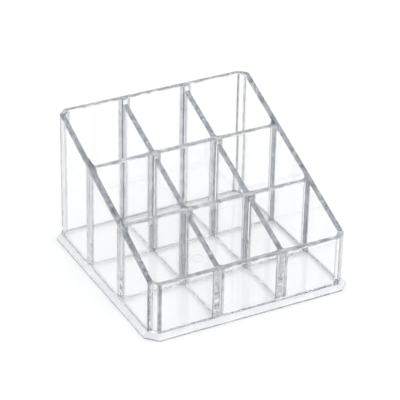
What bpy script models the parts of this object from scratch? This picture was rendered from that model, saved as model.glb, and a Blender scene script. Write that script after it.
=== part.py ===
"""Clear acrylic organizer: a chamfered box with nine open compartments and a rim that slopes to the front.

Metres, +Z up, +X to the right, +Y to the back. The origin lies on the table, under the middle of the box.
"""
import math

import bmesh
import bpy
from mathutils import Matrix, Vector

# Box, measured over the outer faces of its walls
WALL_WIDTH = 0.092
WALL_DEPTH = 0.092
BACK_HEIGHT = 0.0624
FRONT_HEIGHT = 0.0258
CORNER_CHAMFER = 0.0036
WALL = 0.0025

# Dividers inside the box. The slope of the long ones starts a little below the back rim.
DIVIDER = 0.0025
SLOPE_DROP = 0.0017
FILLET = 0.0015
PAD_DRAFT = 0.0002
LAP_SHARE = 0.5
LONG_DIVIDERS = ["divider_left", "divider_right"]
CROSS_DIVIDERS = ["cross_divider_front", "cross_divider_back"]

# Base plate and the flange that stands out from the walls
BASE_THICKNESS = 0.0024
FLANGE = 0.002
FLANGE_EDGE = 0.0006
FLANGE_LEDGE = 0.0002
GATE_RADIUS = 0.0028
GATE_DEPTH = 0.0003

# Gap left for the bond between two pieces, how far a cutter runs past what it cuts, and the same place
BOND = 0.0003
OVERRUN = 0.001
SAME = 0.000001

# Facets of one fillet and of the round gate mark
FILLET_STEPS = 6
GATE_STEPS = 32

# Clear acrylic
ACRYLIC_COLOUR = (0.93, 0.95, 0.97, 1.0)
ACRYLIC_ROUGHNESS = 0.03
ACRYLIC_IOR = 1.49


def inner_leg(leg, inset):
    """Leg of a 45 degree corner chamfer after its outline has moved inwards by inset."""
    return leg - inset * (2 - math.sqrt(2))


def height_on(places, y):
    """Height at depth y of a top that is given by (depth, height) places from front to back."""
    for (front, low), (back, high) in zip(places, places[1:]):
        if y < back:
            return low + max((y - front) / (back - front), 0) * (high - low)
    return places[-1][1]


def rim_places():
    """The walls' rim: level over the corner returns, sloping between them."""
    fold = WALL_DEPTH / 2 - CORNER_CHAMFER
    return [(-fold, FRONT_HEIGHT), (fold, BACK_HEIGHT)]


def slope_places():
    """The long dividers' slope, from the inner face of the front wall to that of the back wall."""
    inner = WALL_DEPTH / 2 - WALL
    return [(-inner, FRONT_HEIGHT), (inner, BACK_HEIGHT - SLOPE_DROP)]


def cross_top(y):
    """Level top of the cross divider at depth y: where the slope reaches its back face."""
    return height_on(slope_places(), y + DIVIDER / 2)


def divider_places(rows):
    """The long dividers' rim: the slope, stepped up to a level pad over the fillets before each panel."""
    slope = slope_places()
    inner = slope[-1][0]
    panels = [(y - DIVIDER / 2, y + DIVIDER / 2, cross_top(y)) for y in rows]
    places = [slope[0]]
    for front, back, level in panels + [(inner, inner, BACK_HEIGHT)]:
        pad = front - FILLET
        foot = pad - PAD_DRAFT
        places += [(foot, height_on(slope, foot)), (pad, level), (back, level)]
    return places


def spread(span, count):
    """Centres of count dividers that leave equal compartments across a clear span."""
    pitch = (span + DIVIDER) / (count + 1)
    return [(place - (count - 1) / 2) * pitch for place in range(count)]


def clear_acrylic(name):
    """A clear acrylic of its own for the piece with this name."""
    material = bpy.data.materials.new(name + "_acrylic")
    material.use_nodes = True
    shader = material.node_tree.nodes["Principled BSDF"]
    shader.inputs["Base Color"].default_value = ACRYLIC_COLOUR
    shader.inputs["Roughness"].default_value = ACRYLIC_ROUGHNESS
    shader.inputs["Metallic"].default_value = 0
    shader.inputs["IOR"].default_value = ACRYLIC_IOR
    shader.inputs["Transmission Weight"].default_value = 1
    return material


def add_object(name, bm, parent=None):
    """Turns a bmesh into an object in the scene, faces outwards."""
    bmesh.ops.recalc_face_normals(bm, faces=bm.faces)
    mesh = bpy.data.meshes.new(name)
    bm.to_mesh(mesh)
    bm.free()
    thing = bpy.data.objects.new(name, mesh)
    thing.parent = parent
    bpy.context.scene.collection.objects.link(thing)
    return thing


def add_piece(name, bm, parent, location=(0, 0, 0)):
    """Adds one piece of the organizer, made of its own acrylic."""
    piece = add_object(name, bm, parent)
    piece.location = location
    piece.data.materials.append(clear_acrylic(name))
    return piece


def add_cutter(name, bm):
    """Adds a guide that only cuts other objects."""
    cutter = add_object(name, bm)
    cutter.hide_render = True
    cutter.display_type = "WIRE"
    return cutter


def cut(piece, cutter):
    """Takes the cutter's shape out of the piece."""
    modifier = piece.modifiers.new(cutter.name, "BOOLEAN")
    modifier.operation = "DIFFERENCE"
    modifier.object = cutter


def add_box(bm, low, high):
    """Adds a box between two corners to a bmesh."""
    low = Vector(low)
    high = Vector(high)
    place = Matrix.Translation((low + high) / 2) @ Matrix.Diagonal((high - low).to_4d())
    bmesh.ops.create_cube(bm, size=1, matrix=place)


def raised(outline, places):
    """Raises a plan outline from the floor to a top that folds at (depth, height) places."""
    floor = BASE_THICKNESS + BOND
    bm = bmesh.new()
    foot = bm.faces.new([bm.verts.new((x, y, floor)) for x, y in outline])
    grown = bmesh.ops.extrude_face_region(bm, geom=[foot])["geom"]
    for vert in (part for part in grown if isinstance(part, bmesh.types.BMVert)):
        vert.co.z = BACK_HEIGHT
    for depth, _ in places:
        everything = bm.verts[:] + bm.edges[:] + bm.faces[:]
        bmesh.ops.bisect_plane(bm, geom=everything, dist=SAME, plane_co=(0, depth, 0), plane_no=(0, 1, 0))
    for vert in bm.verts:
        if vert.co.z > BACK_HEIGHT / 2:
            vert.co.z = height_on(places, vert.co.y)
    return bm


def box_outline(inset):
    """Plan outline of the box, its corners cut at 45 degrees, moved inwards by inset."""
    half_width = WALL_WIDTH / 2 - inset
    half_depth = WALL_DEPTH / 2 - inset
    leg = inner_leg(CORNER_CHAMFER, inset)
    corner = [(half_width, half_depth - leg), (half_width - leg, half_depth)]
    right = corner + [(-x, y) for x, y in reversed(corner)]
    return right + [(-x, -y) for x, y in right]


def end_wall(name, side, parent):
    """The back wall (side 1) or front wall (side -1) with its two mitred corner returns."""
    outer = box_outline(0)[:4]
    inner = box_outline(WALL)[:4]
    outline = [(x, side * y) for x, y in outer + inner[::-1]]
    return add_piece(name, raised(outline, rim_places()), parent)


def side_wall(name, side, parent):
    """The right wall (side 1) or left wall (side -1), mitred to the end walls' corner returns."""
    mitre_gap = BOND / math.cos(math.pi / 8)
    outer_x, outer_y = box_outline(0)[0]
    inner_x, inner_y = box_outline(WALL)[0]
    middle = (outer_x + inner_x) / 2
    back = [(outer_x, outer_y - mitre_gap), (inner_x, inner_y - mitre_gap)]
    corners = back + [(x, -y) for x, y in reversed(back)]
    outline = [(side * (x - middle), y) for x, y in corners]
    return add_piece(name, raised(outline, rim_places()), parent, (side * middle, 0, 0))


def fillet_points():
    """Places along a fillet: (distance from the neighbour's face, how far it stands out)."""
    start = math.acos((FILLET - BOND) / FILLET)
    angles = [start + (math.pi / 2 - start) * step / FILLET_STEPS for step in range(FILLET_STEPS + 1)]
    return [(FILLET * (1 - math.cos(angle)), FILLET * (1 - math.sin(angle))) for angle in angles]


def filleted_edge(half_length, crossings):
    """One long edge of a divider in plan: (place along it, distance from its middle).

    It flares where it meets the walls at both ends, and beside each divider that crosses it.
    """
    flare = [(distance, DIVIDER / 2 + rise) for distance, rise in fillet_points()]
    edge = [(-half_length + distance, out) for distance, out in flare]
    for crossing in crossings:
        face = DIVIDER / 2
        edge += [(crossing - face - distance, out) for distance, out in reversed(flare)]
        edge += [(crossing - face - BOND, DIVIDER / 2), (crossing + face + BOND, DIVIDER / 2)]
        edge += [(crossing + face + distance, out) for distance, out in flare]
    return edge + [(half_length - distance, out) for distance, out in reversed(flare)]


def divider_outline(half_length, crossings):
    """Plan outline of a divider that runs along X, the same on both faces."""
    edge = filleted_edge(half_length, crossings)
    return edge + [(along, -out) for along, out in reversed(edge)]


def lap_height(y):
    """Height at which the two slots of a half lap meet, for the cross divider at depth y."""
    floor = BASE_THICKNESS + BOND
    return floor + LAP_SHARE * (cross_top(y) - floor)


def long_divider(name, x, rows, slots, parent):
    """A divider from front to back, with a sloping rim and a slot from the top at each row."""
    outline = [(-out, along) for along, out in divider_outline(WALL_DEPTH / 2 - WALL, [])]
    piece = add_piece(name, raised(outline, divider_places(rows)), parent, (x, 0, 0))
    for cutter in slots:
        cut(piece, cutter)
    return piece


def top_slot_cutter(name, y):
    """Cutter for the slots that the long dividers have at the cross divider at depth y."""
    bm = bmesh.new()
    half = DIVIDER / 2 + BOND
    low = (-WALL_WIDTH / 2, y - half, lap_height(y))
    add_box(bm, low, (WALL_WIDTH / 2, y + half, BACK_HEIGHT + OVERRUN))
    return add_cutter(name, bm)


def cross_divider(name, y, columns, parent):
    """A divider from side to side, level on top, with a slot from below at each long divider."""
    outline = divider_outline(WALL_WIDTH / 2 - WALL, columns)
    piece = add_piece(name, raised(outline, [(0, cross_top(y))]), parent, (0, y, 0))
    bm = bmesh.new()
    half = DIVIDER / 2 + BOND
    reach = DIVIDER + FILLET
    for x in columns:
        add_box(bm, (x - half, y - reach, 0), (x + half, y + reach, lap_height(y) + BOND))
    cut(piece, add_cutter(name + "_slots", bm))
    return piece


def base_plate(parent):
    """The floor: cut corners, a flange with an upright edge and a bevel, and the gate mark's recess."""
    levels = [(-FLANGE, 0), (-FLANGE, FLANGE_EDGE), (-FLANGE_LEDGE, BASE_THICKNESS)]
    bm = bmesh.new()
    rings = [[bm.verts.new((x, y, z)) for x, y in box_outline(inset)] for inset, z in levels]
    for low, high in zip(rings, rings[1:]):
        for place, vert in enumerate(low):
            bm.faces.new((low[place - 1], vert, high[place], high[place - 1]))
    bm.faces.new(rings[0])
    bm.faces.new(rings[-1])
    plate = add_piece("base_plate", bm, parent)
    gate = bmesh.new()
    middle = Matrix.Translation((0, 0, BASE_THICKNESS))
    bmesh.ops.create_cone(gate, cap_ends=True, segments=GATE_STEPS, radius1=GATE_RADIUS,
                          radius2=GATE_RADIUS, depth=2 * GATE_DEPTH, matrix=middle)
    cut(plate, add_cutter("gate_recess", gate))
    return plate


def clear_scene():
    """Removes every object that the scene holds."""
    for thing in list(bpy.data.objects):
        bpy.data.objects.remove(thing, do_unlink=True)


def main():
    clear_scene()
    organizer = bpy.data.objects.new("organizer", None)
    bpy.context.scene.collection.objects.link(organizer)
    columns = spread(WALL_WIDTH - 2 * WALL, len(LONG_DIVIDERS))
    rows = spread(WALL_DEPTH - 2 * WALL, len(CROSS_DIVIDERS))
    base_plate(organizer)
    end_wall("back_wall", 1, organizer)
    end_wall("front_wall", -1, organizer)
    side_wall("left_wall", -1, organizer)
    side_wall("right_wall", 1, organizer)
    slots = [top_slot_cutter(name + "_seat", y) for name, y in zip(CROSS_DIVIDERS, rows)]
    for name, x in zip(LONG_DIVIDERS, columns):
        long_divider(name, x, rows, slots, organizer)
    for name, y in zip(CROSS_DIVIDERS, rows):
        cross_divider(name, y, columns, organizer)


main()
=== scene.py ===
"""Looks of the clear acrylic organizer: polished clear panels on a pale floor under soft studio light.

Metres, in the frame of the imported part: +Z up, +X right, +Y back, origin on the floor under the box.
The body is raised as one clear shape, so that light passes its joints as it does in the real one,
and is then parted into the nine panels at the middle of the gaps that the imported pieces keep.
"""
import math

import bmesh
import bpy
from mathutils import Matrix, Vector
from mathutils.geometry import delaunay_2d_cdt

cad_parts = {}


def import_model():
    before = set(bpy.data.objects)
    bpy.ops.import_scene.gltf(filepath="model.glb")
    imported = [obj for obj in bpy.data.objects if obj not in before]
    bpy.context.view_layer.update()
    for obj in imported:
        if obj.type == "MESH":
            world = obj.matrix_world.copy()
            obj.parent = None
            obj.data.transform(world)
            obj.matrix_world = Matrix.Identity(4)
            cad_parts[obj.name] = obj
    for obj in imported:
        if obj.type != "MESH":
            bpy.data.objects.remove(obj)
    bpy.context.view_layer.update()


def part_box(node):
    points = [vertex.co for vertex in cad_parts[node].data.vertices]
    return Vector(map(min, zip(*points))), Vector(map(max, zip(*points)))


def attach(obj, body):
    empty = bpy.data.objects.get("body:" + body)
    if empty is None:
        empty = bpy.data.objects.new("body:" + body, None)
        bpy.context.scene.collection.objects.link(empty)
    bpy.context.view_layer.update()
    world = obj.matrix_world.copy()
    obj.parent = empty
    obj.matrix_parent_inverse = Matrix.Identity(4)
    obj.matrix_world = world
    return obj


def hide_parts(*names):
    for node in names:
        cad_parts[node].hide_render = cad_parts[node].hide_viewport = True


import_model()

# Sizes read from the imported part. BOND is the gap between two pieces. The back wall's box ends in front
# where the mitres of its corner returns end inside, a little further forward than the cut corner does
BACK_LOW, BACK_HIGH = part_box("back_wall")
LEFT_LOW, LEFT_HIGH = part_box("left_wall")
_, BASE_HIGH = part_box("base_plate")
HALF_WIDTH = BACK_HIGH.x
HALF_DEPTH = BACK_HIGH.y
BACK_HEIGHT = BACK_HIGH.z
WALL = LEFT_HIGH.x - LEFT_LOW.x
FLOOR = BASE_HIGH.z
FLANGE = BASE_HIGH.x - HALF_WIDTH
BOND = BACK_LOW.z - FLOOR
CHAMFER = BACK_HIGH.y - BACK_LOW.y - WALL * (math.sqrt(2) - 1)

# Sizes of the shape that the boxes don't give
FRONT_HEIGHT = 0.0258
DIVIDER = 0.0025
SLOPE_DROP = 0.0017
FILLET = 0.0015
LAP_SHARE = 0.5
FLANGE_EDGE = 0.0006
FLANGE_LEDGE = 0.0002
GATE_RADIUS = 0.0028
GATE_DEPTH = 0.0003
COMPARTMENTS = 3

# Rounding of the rims and of the box's upright edges, and facets of the curves
RIM_ROUND = 0.0006
RIM_STEPS = 4
FILLET_STEPS = 8
GATE_STEPS = 32

# What is rounded and which look a face has: an edge whose faces turn by more than EASED_ANGLE is
# rounded, a face whose normal rises above RIM_TILT is a rim, and an upright face whose normal is off
# the sides and the diagonals by more than FILLET_TURN is part of a fillet
EASED_ANGLE = math.radians(30)
RIM_TILT = 0.8
FILLET_TURN = 0.05

# Shading: faces that meet at less than SHARP_ANGLE are smooth together, led by the large ones
SHARP_ANGLE = math.radians(35)
LARGE_FACES = 100

# How exact the shape is: places within MERGE are one, heights are rounded to HEIGHT_DIGITS, faces
# that turn by less than FLAT_ANGLE are joined, and VALID_FACES asks for patches that Blender can hold
MERGE = 1e-6
HEIGHT_DIGITS = 7
FLAT_ANGLE = math.radians(0.1)
VALID_FACES = 4

# Where the panels part: SEAM is half of a gap, REACH is how far a cutter runs past the body, and
# FLARE is half of a divider's width with its fillets
SEAM = BOND / 2
REACH = 0.01
FLARE = DIVIDER / 2 + SEAM + FILLET

# Places of the body's materials, after the panes' own, which is the first
RIMS, FILLETS, SLOPES = 1, 2, 3

# Clear acrylic. A pair is the two ends of a streaky or scuffed range: colours in streaks, roughness in
# scuffs.
# The rims' and the fillets' colours are greys of painted shade, for the dark bands that bent light gives
# them, and the flange's colours are painted light, a near white for its bright bevel. FLANGE_CLARITY is
# the share of the flange's slope that is clear and not painted white
ACRYLIC_IOR = 1.49
INNER_TINT = (0.9958, 0.9966, 0.9974)
PANE_COLOURS = [(0.999, 0.9993, 1), (1, 1, 1)]
# Painted shade: the rims' greys stand for the dark bands that bent light gives the clear rims
RIM_PAINTED_SHADE = [(0.36, 0.37, 0.4), (1, 1, 1)]
# Painted shade: the fillets' darker greys stand for the dark lines that bent light gives the clear fillets
FILLET_PAINTED_SHADE = [(0.28, 0.29, 0.32), (0.52, 0.53, 0.55)]
# Painted light: the flange's near white, with FLANGE_CLARITY, stands for the bright look of its clear
# bevel
FLANGE_PAINTED_LIGHT = [(0.91, 0.915, 0.925), (0.94, 0.945, 0.95)]
FLANGE_CLARITY = 0.4
PANE_ROUGHNESS = (0, 0.004)
RIM_ROUGHNESS = (0, 0.015)
WAVE_SIZE = 0.012
WAVE_HEIGHT = 0.00002
WAVE_STRENGTH = 0.08
SCUFF_SIZE = 0.0015
STREAK_SIZE = 0.003
STREAK_RANGE = (0.35, 0.65)

# The joint at the foot of the panels: a grey, part see-through sheet of painted shade for the dark crease
# line there
FOOT_SHADE_COLOUR = (0.2, 0.21, 0.23)
FOOT_SHADE_ALPHA = (0, 0.35)

# Camera of the photograph. FOCAL_PIXELS and PICTURE_PIXELS are in pixels, SENSOR in millimetres
CAMERA_TARGET = Vector((0, 0, 0.025))
CAMERA_AZIMUTH = math.radians(-28.43)
CAMERA_ELEVATION = math.radians(30.15)
CAMERA_ROLL = math.radians(1.27)
CAMERA_DISTANCE = 0.84304
CAMERA_RIGHT = -0.00007
CAMERA_UP = 0.00475
CLIP_START = 0.01
FOCAL_PIXELS = 1973.82
PICTURE_PIXELS = 400
SENSOR = 36

# Studio floor
FLOOR_RADIUS = 3.0
FLOOR_STEPS = 96
FLOOR_DROP = 0.0001
FLOOR_ALBEDO = 0.9

# Studio light: the lowest angle of each band above the horizon in degrees, and the strengths of
# the light from the front left, the front right, the back right and the back left
LIGHT_BANDS = [
    (-90, [1.2, 1.2, 1.0, 1.2]),
    (6, [1.2, 1.5, 0.9, 1.0]),
    (20, [1.3, 1.4, 1.2, 1.4]),
    (26, [1.3, 1.5, 1.3, 1.0]),
    (35, [1.2, 1.6, 1.0, 1.0]),
    (50, [1.1, 1.2, 1.4, 1.2]),
    (70, [0.8, 0.8, 0.8, 0.8]),
]

# Two bands blend within BAND_SOFTNESS degrees of their edge. The sky's colours are shares of BRIGHTEST
BAND_SOFTNESS = 1.5
BRIGHTEST = 4.0

# How many times a path of light may turn
LIGHT_BOUNCES = 256
GLOSSY_BOUNCES = 128
DIFFUSE_BOUNCES = 8


def rim_height(x, y):
    """Height of the rim at a place: level over the corner returns, sloping between them."""
    fold = HALF_DEPTH - CHAMFER
    share = min(max((y + fold) / (2 * fold), 0), 1)
    return FRONT_HEIGHT + share * (BACK_HEIGHT - FRONT_HEIGHT)


def slope_height(x, y):
    """Height of the long dividers' slope, which runs between the inner faces of the end walls."""
    inner = HALF_DEPTH - WALL
    share = (y + inner) / (2 * inner)
    return FRONT_HEIGHT + share * (BACK_HEIGHT - SLOPE_DROP - FRONT_HEIGHT)


def level_at(height):
    """A top that lies level at one height."""
    return lambda x, y: height


def led_to_rim(height):
    """A cross divider's top beside a side wall: led from its own height to the rim over the fillet."""
    def top(x, y):
        share = min(max((abs(x) - HALF_WIDTH + WALL + FILLET) / FILLET, 0), 1)
        return height + share * (rim_height(x, y) - height)
    return top


def lap_height(top):
    """Height at which the half laps of a cross divider with this top meet."""
    foot = FLOOR + BOND
    return foot + LAP_SHARE * (top - foot)


def rectangle(left, front, right, back):
    """Plan outline of a rectangle."""
    return [(left, front), (right, front), (right, back), (left, back)]


def arc(x, y, radius, start, turn, steps):
    """Points along an arc in plan."""
    angles = [start + turn * step / steps for step in range(steps + 1)]
    return [(x + radius * math.cos(angle), y + radius * math.sin(angle)) for angle in angles]


def box_outline(inset):
    """Plan outline of the box with its corners cut at 45 degrees, moved inwards by inset."""
    x, y, leg = HALF_WIDTH - inset, HALF_DEPTH - inset, CHAMFER - inset * (2 - math.sqrt(2))
    corner = [(x, y - leg), (x - leg, y)]
    back = corner + [(-a, b) for a, b in reversed(corner)]
    return back + [(-a, -b) for a, b in back]


def compartments_along(half):
    """Where each compartment begins and ends along a side of the box."""
    clear = (2 * half - 2 * WALL - (COMPARTMENTS - 1) * DIVIDER) / COMPARTMENTS
    starts = [-half + WALL + place * (clear + DIVIDER) for place in range(COMPARTMENTS)]
    return [(start, start + clear) for start in starts]


def dividers_between(spans):
    """Where each divider begins and ends: it fills the space from one compartment to the next."""
    return [(end, start) for (_, end), (start, _) in zip(spans, spans[1:])]


COLUMNS = compartments_along(HALF_WIDTH)
ROWS = compartments_along(HALF_DEPTH)
LONG_DIVIDERS = dividers_between(COLUMNS)
CROSS_DIVIDERS = dividers_between(ROWS)
CROSS_TOPS = [slope_height(0, back) for _, back in CROSS_DIVIDERS]


def compartment(column, row):
    """Plan outline of a compartment: filleted beside dividers, cut at the corners of the box."""
    outline = []
    for quarter, (side_x, side_y) in enumerate([(1, 1), (-1, 1), (-1, -1), (1, -1)]):
        x = column[1] if side_x > 0 else column[0]
        y = row[1] if side_y > 0 else row[0]
        if abs(x) > HALF_WIDTH - WALL - MERGE and abs(y) > HALF_DEPTH - WALL - MERGE:
            outline += box_outline(WALL)[2 * quarter:2 * quarter + 2]
        else:
            middle = (x - side_x * FILLET, y - side_y * FILLET)
            outline += arc(*middle, FILLET, quarter * math.pi / 2, math.pi / 2, FILLET_STEPS)
    return outline


def plan():
    """Cells of the plan, each an outline and the height of its top. A later cell covers an earlier one."""
    floor_top = level_at(FLOOR)
    inner_x, inner_y = HALF_WIDTH - WALL, HALF_DEPTH - WALL
    cells = [(box_outline(-FLANGE_LEDGE), floor_top), (box_outline(0), rim_height)]
    for left, right in LONG_DIVIDERS:
        left, right = left - FILLET, right + FILLET
        cells.append((rectangle(left, -inner_y, right, inner_y), slope_height))
        cells.append((rectangle(left, inner_y - FILLET, right, inner_y), level_at(BACK_HEIGHT)))
    for (front, back), top in zip(CROSS_DIVIDERS, CROSS_TOPS):
        cells.append((rectangle(-inner_x, front - FILLET, inner_x, back), level_at(top)))
        for low, high in ((-inner_x, FILLET - inner_x), (inner_x - FILLET, inner_x)):
            cells.append((rectangle(low, front - FILLET, high, back + FILLET), led_to_rim(top)))
    cells += [(compartment(column, row), floor_top) for column in COLUMNS for row in ROWS]
    cells.append((arc(0, 0, GATE_RADIUS, 0, 2 * math.pi, GATE_STEPS)[:-1], level_at(FLOOR - GATE_DEPTH)))
    return cells


def part_plan(cells):
    """Parts the plan where outlines and folds cross: places, patches of them, and each patch's top."""
    points, faces, edges = [], [], []
    for outline, _ in cells:
        faces.append(list(range(len(points), len(points) + len(outline))))
        points += [Vector(point) for point in outline]
    for fold in (CHAMFER - HALF_DEPTH, HALF_DEPTH - CHAMFER):
        edges.append((len(points), len(points) + 1))
        points += [Vector((-HALF_WIDTH, fold)), Vector((HALF_WIDTH, fold))]
    places, _, patches, _, _, owners = delaunay_2d_cdt(points, edges, faces, VALID_FACES, MERGE)
    return places, patches, [cells[max(owner)][1] for owner in owners]


def raise_plan(bm):
    """Adds a top for each patch and an upright face wherever two patches differ in height."""
    places, patches, tops = part_plan(plan())
    corners = []
    for patch, top in zip(patches, tops):
        corners.append({place: round(top(*places[place]), HEIGHT_DIGITS) for place in patch})
    levels = [set() for _ in places]
    verts = {}
    for heights in corners:
        for place, z in heights.items():
            levels[place].add(z)
            if (place, z) not in verts:
                verts[place, z] = bm.verts.new((*places[place], z))
    sides = {}
    for patch, heights in zip(patches, corners):
        bm.faces.new([verts[place, heights[place]] for place in patch])
        for a, b in zip(patch, patch[1:] + patch[:1]):
            sides.setdefault((min(a, b), max(a, b)), []).append(heights)
    for ends, meeting in sides.items():
        if len(meeting) < 2:
            continue
        rise = []
        for place in ends:
            low, high = sorted(heights[place] for heights in meeting)
            rise.append([verts[place, z] for z in sorted(levels[place]) if low <= z <= high])
        ring = rise[0] + rise[1][::-1]
        if len(ring) > 2:
            bm.faces.new(ring)


def add_flange(bm):
    """Closes the body below: the bevelled flange, its upright edge and the underside."""
    rings = []
    for inset, z in [(-FLANGE_LEDGE, FLOOR), (-FLANGE, FLANGE_EDGE), (-FLANGE, 0)]:
        rings.append([bm.verts.new((x, y, z)) for x, y in box_outline(inset)])
    for high, low in zip(rings, rings[1:]):
        for place, vert in enumerate(low):
            bm.faces.new((high[place - 1], high[place], vert, low[place - 1]))
    bm.faces.new(rings[-1])
    bmesh.ops.remove_doubles(bm, verts=bm.verts, dist=MERGE)
    bmesh.ops.recalc_face_normals(bm, faces=bm.faces)
    bmesh.ops.dissolve_limit(bm, angle_limit=FLAT_ANGLE, verts=bm.verts, edges=bm.edges)


def mark_edges(bm):
    """Marks the edges that are rounded: the rims, and the upright edges that rise from the floor."""
    weights = bm.edges.layers.float.new("bevel_weight_edge")
    for edge in bm.edges:
        low, high = sorted(vert.co.z for vert in edge.verts)
        eased = edge.is_convex or low < FLOOR + MERGE
        if eased and edge.calc_face_angle() > EASED_ANGLE and high > FLOOR + RIM_ROUND:
            edge[weights] = 1


def mark_faces(bm):
    """Gives the rims, the fillets and the flange's slope their looks.

    The flange's upright edge and the side of the gate mark take the fillets' looks. The rims and the
    fillets are painted shade, and the flange's slope painted light.
    """
    for face in bm.faces:
        x, y, z = (abs(value) for value in face.normal)
        level = face.calc_center_median().z
        if face.normal.z > RIM_TILT and level > FLOOR + RIM_ROUND:
            face.material_index = RIMS
        elif MERGE < level < FLOOR - GATE_DEPTH - MERGE:
            face.material_index = FILLETS if level < FLANGE_EDGE else SLOPES
        elif z < FILLET_TURN < min(x, y, abs(x - y)):
            face.material_index = FILLETS


def apply_modifiers(thing):
    """Turns what an object's modifiers make of it into its mesh."""
    depsgraph = bpy.context.evaluated_depsgraph_get()
    mesh = bpy.data.meshes.new_from_object(thing.evaluated_get(depsgraph))
    thing.modifiers.clear()
    thing.data = mesh


def round_rims(thing):
    """Rounds the marked edges, which take the rims' painted shade. The rounded upright ones take the
    fillets' painted shade.
    """
    modifier = thing.modifiers.new("rims", "BEVEL")
    modifier.limit_method = "WEIGHT"
    modifier.width = RIM_ROUND
    modifier.segments = RIM_STEPS
    modifier.use_clamp_overlap = False
    modifier.material = RIMS
    apply_modifiers(thing)
    for face in thing.data.polygons:
        if face.material_index == RIMS and abs(face.normal.z) < FILLET_TURN:
            face.material_index = FILLETS


def place_object(name, data):
    """A new object in the scene."""
    thing = bpy.data.objects.new(name, data)
    bpy.context.scene.collection.objects.link(thing)
    return thing


def add_object(name, bm, *materials):
    """Turns a bmesh into an object in the scene."""
    mesh = bpy.data.meshes.new(name)
    bm.to_mesh(mesh)
    bm.free()
    for material in materials:
        mesh.materials.append(material)
    return place_object(name, mesh)


def fused_body(*materials):
    """The whole clear body as one closed shape."""
    bm = bmesh.new()
    raise_plan(bm)
    add_flange(bm)
    mark_edges(bm)
    mark_faces(bm)
    body = add_object("fused_body", bm, *materials)
    round_rims(body)
    return body


def region(name, outline, low, material):
    """An upright block that parts the body: it stands on a plan outline and ends above the body."""
    bm = bmesh.new()
    foot = bm.faces.new([bm.verts.new((x, y, low)) for x, y in outline])
    grown = bmesh.ops.extrude_face_region(bm, geom=[foot])["geom"]
    for vert in (part for part in grown if isinstance(part, bmesh.types.BMVert)):
        vert.co.z = BACK_HEIGHT + REACH
    bmesh.ops.recalc_face_normals(bm, faces=bm.faces)
    return add_object(name, bm, material)


def end_outline(side):
    """Plan of the end of the box that holds one end wall: bounded by its mitres with the side walls."""
    (outer_x, outer_y), (inner_x, inner_y) = box_outline(0)[0], box_outline(WALL)[0]
    slope = (outer_y - inner_y) / (outer_x - inner_x)
    shift = SEAM * math.hypot(1, slope)
    mitre = [(x, outer_y - shift + slope * (x - outer_x)) for x in (inner_x - WALL, outer_x + REACH)]
    right = mitre + [(outer_x + REACH, HALF_DEPTH + REACH)]
    return [(x, side * y) for x, y in right + [(-x, y) for x, y in reversed(right)]]


def long_outline(left, right):
    """Plan of what a long divider takes up: a strip that widens for the fillets at both its ends."""
    middle = (left + right) / 2
    face = DIVIDER / 2 + SEAM
    end, far = HALF_DEPTH - WALL - FILLET - SEAM, HALF_DEPTH + REACH
    back = [(face, end), (FLARE, end), (FLARE, far), (-FLARE, far), (-FLARE, end), (-face, end)]
    return [(middle + a, b) for a, b in back + [(-a, -b) for a, b in back]]


def cut(thing, operation, block):
    """Cuts a thing by a block. The faces of the cut get the block's material."""
    modifier = thing.modifiers.new(block.name, "BOOLEAN")
    modifier.operation = operation
    modifier.solver = "MANIFOLD"
    modifier.object = block
    modifier.material_mode = "TRANSFER"


def part_body(body, name, inside, outside):
    """The piece of the body that lies in every region of inside and in none of outside."""
    piece = place_object(name + "_clear", body.data.copy())
    for block in inside:
        cut(piece, "INTERSECT", block)
    for block in outside:
        cut(piece, "DIFFERENCE", block)
    apply_modifiers(piece)
    piece.data.shade_smooth()
    piece.data.set_sharp_from_angle(angle=SHARP_ANGLE)
    smooth = piece.modifiers.new("flat_panels", "WEIGHTED_NORMAL")
    smooth.weight = LARGE_FACES
    smooth.keep_sharp = True
    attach(piece, "root")
    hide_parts(name)


def part_panels(body, bond, foot):
    """Parts the fused body into the nine panels, each at the place of its node.

    Above is all that stands on the base plate, and the room is all that the four walls hold.
    Where the dividers cross, a notch is the upper half, which is the cross divider's.
    """
    x, y = HALF_WIDTH + REACH, HALF_DEPTH + REACH
    # The cut faces along the foot of the panels take the foot line's painted shade
    above = region("above", rectangle(-x, -y, x, y), FLOOR + SEAM, foot)
    room = region("room", box_outline(WALL + SEAM), 0, bond)
    ends = [region("end", end_outline(side), -REACH, bond) for side in (-1, 1)]
    halves = [region("half", rectangle(0, -y, side * x, y), -REACH, bond) for side in (-1, 1)]
    longs = [region("long", long_outline(*sides), -REACH, bond) for sides in LONG_DIVIDERS]
    notches, strips, lowers = [], [], []
    for (front, back), top in zip(CROSS_DIVIDERS, CROSS_TOPS):
        notch = rectangle(-x, front - SEAM, x, back + SEAM)
        notches.append(region("notch", notch, lap_height(top) + SEAM, bond))
        strips.append(region("strip", rectangle(-x, front - FLARE, x, back + FLARE), -REACH, bond))
    part_body(body, "base_plate", [], [above])
    for name, end in zip(("front_wall", "back_wall"), ends):
        part_body(body, name, [above, end], [room])
    for name, half in zip(("left_wall", "right_wall"), halves):
        part_body(body, name, [above, half], [room, *ends])
    for name, block in zip(("divider_left", "divider_right"), longs):
        part_body(body, name, [above, room, block], notches)
    for name, notch, strip in zip(("cross_divider_front", "cross_divider_back"), notches, strips):
        for block in longs:
            lowers.append(place_object("lower", block.data.copy()))
            cut(lowers[-1], "DIFFERENCE", notch)
        part_body(body, name, [above, room, strip], lowers[-len(longs):])
    for block in [above, room, *ends, *halves, *longs, *notches, *strips, *lowers, body]:
        bpy.data.objects.remove(block)


def principled(name):
    """A new material and its Principled shader."""
    material = bpy.data.materials.new(name)
    material.use_nodes = True
    return material, material.node_tree.nodes["Principled BSDF"]


def grey(value):
    """An opaque grey."""
    return value, value, value, 1


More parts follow.
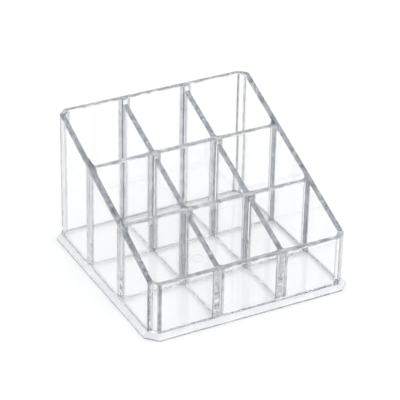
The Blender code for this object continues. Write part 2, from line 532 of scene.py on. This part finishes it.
def map_range(tree, value, source, target=(0, 1), kind="LINEAR"):
    """A value led from one range to another."""
    node = tree.nodes.new("ShaderNodeMapRange")
    node.interpolation_type = kind
    node.inputs["From Min"].default_value, node.inputs["From Max"].default_value = source
    node.inputs["To Min"].default_value, node.inputs["To Max"].default_value = target
    tree.links.new(value, node.inputs["Value"])
    return node.outputs[0]


def noise(tree, place, size):
    """A noise pattern with features of this size."""
    pattern = tree.nodes.new("ShaderNodeTexNoise")
    pattern.inputs["Scale"].default_value = 1 / size
    tree.links.new(place.outputs["Object"], pattern.inputs["Vector"])
    return pattern.outputs["Fac"]


def streaks(tree, place, target=(0, 1)):
    """Streaks between the ends of a range."""
    return map_range(tree, noise(tree, place, STREAK_SIZE), STREAK_RANGE, target)


def acrylic(name, colours, roughness, clarity=1):
    """Clear acrylic, faintly wavy and scuffed, its colour streaked between two given colours, which hold
    painted shade on the rims and fillets and painted light on the flange. The coat's tint stands for what
    its thickness takes up.
    """
    material, shader = principled(name)
    tree = material.node_tree
    shader.inputs["IOR"].default_value = ACRYLIC_IOR
    shader.inputs["Transmission Weight"].default_value = clarity
    shader.inputs["Coat Weight"].default_value = 1
    shader.inputs["Coat Roughness"].default_value = 0
    shader.inputs["Coat IOR"].default_value = 1
    shader.inputs["Coat Tint"].default_value = (*INNER_TINT, 1)
    place = tree.nodes.new("ShaderNodeTexCoord")
    tint = tree.nodes.new("ShaderNodeMix")
    tint.data_type = "RGBA"
    for socket, colour in zip("AB", colours):
        tint.inputs[socket].default_value = (*colour, 1)
    tree.links.new(streaks(tree, place), tint.inputs["Factor"])
    tree.links.new(tint.outputs["Result"], shader.inputs["Base Color"])
    scuffs = map_range(tree, noise(tree, place, SCUFF_SIZE), (0, 1), roughness)
    tree.links.new(scuffs, shader.inputs["Roughness"])
    waves = tree.nodes.new("ShaderNodeBump")
    waves.inputs["Strength"].default_value = WAVE_STRENGTH
    waves.inputs["Distance"].default_value = WAVE_HEIGHT
    tree.links.new(noise(tree, place, WAVE_SIZE), waves.inputs["Height"])
    tree.links.new(waves.outputs[0], shader.inputs["Normal"])
    return material


def clear_bond():
    """Bonded faces between two panels, where light passes as if they were one."""
    material, shader = principled("clear_bond")
    shader.inputs["Alpha"].default_value = 0
    return material


def foot_painted_shade():
    """Painted shade at the joint along the foot of the panels: a streaky grey, part see-through sheet that
    darkens the crease line there.
    """
    material, shader = principled("foot_painted_shade")
    tree = material.node_tree
    shader.inputs["Base Color"].default_value = (*FOOT_SHADE_COLOUR, 1)
    place = tree.nodes.new("ShaderNodeTexCoord")
    tree.links.new(streaks(tree, place, FOOT_SHADE_ALPHA), shader.inputs["Alpha"])
    return material


def camera():
    """The photograph's camera."""
    azimuth, elevation = CAMERA_AZIMUTH, CAMERA_ELEVATION
    flat = math.cos(elevation)
    back = Vector((math.sin(azimuth) * flat, -math.cos(azimuth) * flat, math.sin(elevation)))
    level = Vector((math.cos(azimuth), math.sin(azimuth), 0))
    upward = back.cross(level)
    right = level * math.cos(CAMERA_ROLL) + upward * math.sin(CAMERA_ROLL)
    up = upward * math.cos(CAMERA_ROLL) - level * math.sin(CAMERA_ROLL)
    data = bpy.data.cameras.new("camera")
    data.sensor_width = SENSOR
    data.lens = FOCAL_PIXELS * SENSOR / PICTURE_PIXELS
    data.clip_start = CLIP_START
    thing = place_object("camera", data)
    turn = Matrix((right, up, back)).transposed().to_4x4()
    place = CAMERA_TARGET + right * CAMERA_RIGHT + up * CAMERA_UP + back * CAMERA_DISTANCE
    thing.matrix_world = Matrix.Translation(place) @ turn
    bpy.context.scene.camera = thing


def floor():
    """A plain pale floor."""
    bm = bmesh.new()
    bmesh.ops.create_circle(bm, cap_ends=True, segments=FLOOR_STEPS, radius=FLOOR_RADIUS)
    material, shader = principled("floor_paper")
    shader.inputs["Base Color"].default_value = grey(FLOOR_ALBEDO)
    shader.inputs["Roughness"].default_value = 1
    shader.inputs["Specular IOR Level"].default_value = 0
    thing = add_object("floor", bm, material)
    thing.location.z = -FLOOR_DROP


def math_node(tree, operation, *values):
    """What an operation makes of linked values."""
    node = tree.nodes.new("ShaderNodeMath")
    node.operation = operation
    for socket, value in zip(node.inputs, values):
        tree.links.new(value, socket)
    return node.outputs[0]


def light_band(tree, turn, strengths):
    """The light of one band of the sky, blended from direction to direction all the way round."""
    ramp = tree.nodes.new("ShaderNodeValToRGB")
    stops = ramp.color_ramp.elements
    for place, strength in enumerate(strengths):
        stops.new((place + 0.5) / len(strengths)).color = grey(strength / BRIGHTEST)
    for stop in (stops[0], stops[-1]):
        stop.color = grey((strengths[0] + strengths[-1]) / 2 / BRIGHTEST)
    tree.links.new(turn, ramp.inputs[0])
    return ramp.outputs[0]


def world():
    """Soft studio light: its strength by direction, blended from band to band and round each band."""
    sky = bpy.data.worlds.new("studio")
    sky.use_nodes = True
    tree = sky.node_tree
    coordinate = tree.nodes.new("ShaderNodeTexCoord")
    split = tree.nodes.new("ShaderNodeSeparateXYZ")
    tree.links.new(coordinate.outputs["Generated"], split.inputs[0])
    angle = math_node(tree, "ARCTAN2", split.outputs["Y"], split.outputs["X"])
    turn = map_range(tree, angle, (-math.pi, math.pi))
    height = math_node(tree, "ARCSINE", split.outputs["Z"])
    soft = math.radians(BAND_SOFTNESS)
    (_, lowest), *higher = LIGHT_BANDS
    light = light_band(tree, turn, lowest)
    for low, strengths in higher:
        edge = math.radians(low)
        share = map_range(tree, height, (edge - soft, edge + soft), kind="SMOOTHSTEP")
        blend = tree.nodes.new("ShaderNodeMix")
        blend.data_type = "RGBA"
        tree.links.new(share, blend.inputs["Factor"])
        tree.links.new(light, blend.inputs["A"])
        tree.links.new(light_band(tree, turn, strengths), blend.inputs["B"])
        light = blend.outputs["Result"]
    background = tree.nodes["Background"]
    tree.links.new(light, background.inputs["Color"])
    background.inputs["Strength"].default_value = BRIGHTEST
    bpy.context.scene.world = sky


def render_settings():
    """Colours as they are, and paths long enough for light that turns many times inside the panels."""
    scene = bpy.context.scene
    scene.view_settings.view_transform = "Standard"
    scene.cycles.max_bounces = LIGHT_BOUNCES
    scene.cycles.transmission_bounces = LIGHT_BOUNCES
    scene.cycles.glossy_bounces = GLOSSY_BOUNCES
    scene.cycles.diffuse_bounces = DIFFUSE_BOUNCES
    scene.cycles.transparent_max_bounces = LIGHT_BOUNCES
    scene.cycles.blur_glossy = 0


# The rims and the fillets are painted with shade, and the flange's slope with light
panes = acrylic("polished_acrylic", PANE_COLOURS, PANE_ROUGHNESS)
rims = acrylic("rounded_rims_painted_shade", RIM_PAINTED_SHADE, RIM_ROUGHNESS)
fillets = acrylic("fillet_acrylic_painted_shade", FILLET_PAINTED_SHADE, PANE_ROUGHNESS)
slopes = acrylic("flange_slope_painted_light", FLANGE_PAINTED_LIGHT, PANE_ROUGHNESS, FLANGE_CLARITY)
part_panels(fused_body(panes, rims, fillets, slopes), clear_bond(), foot_painted_shade())
floor()
world()
camera()
render_settings()
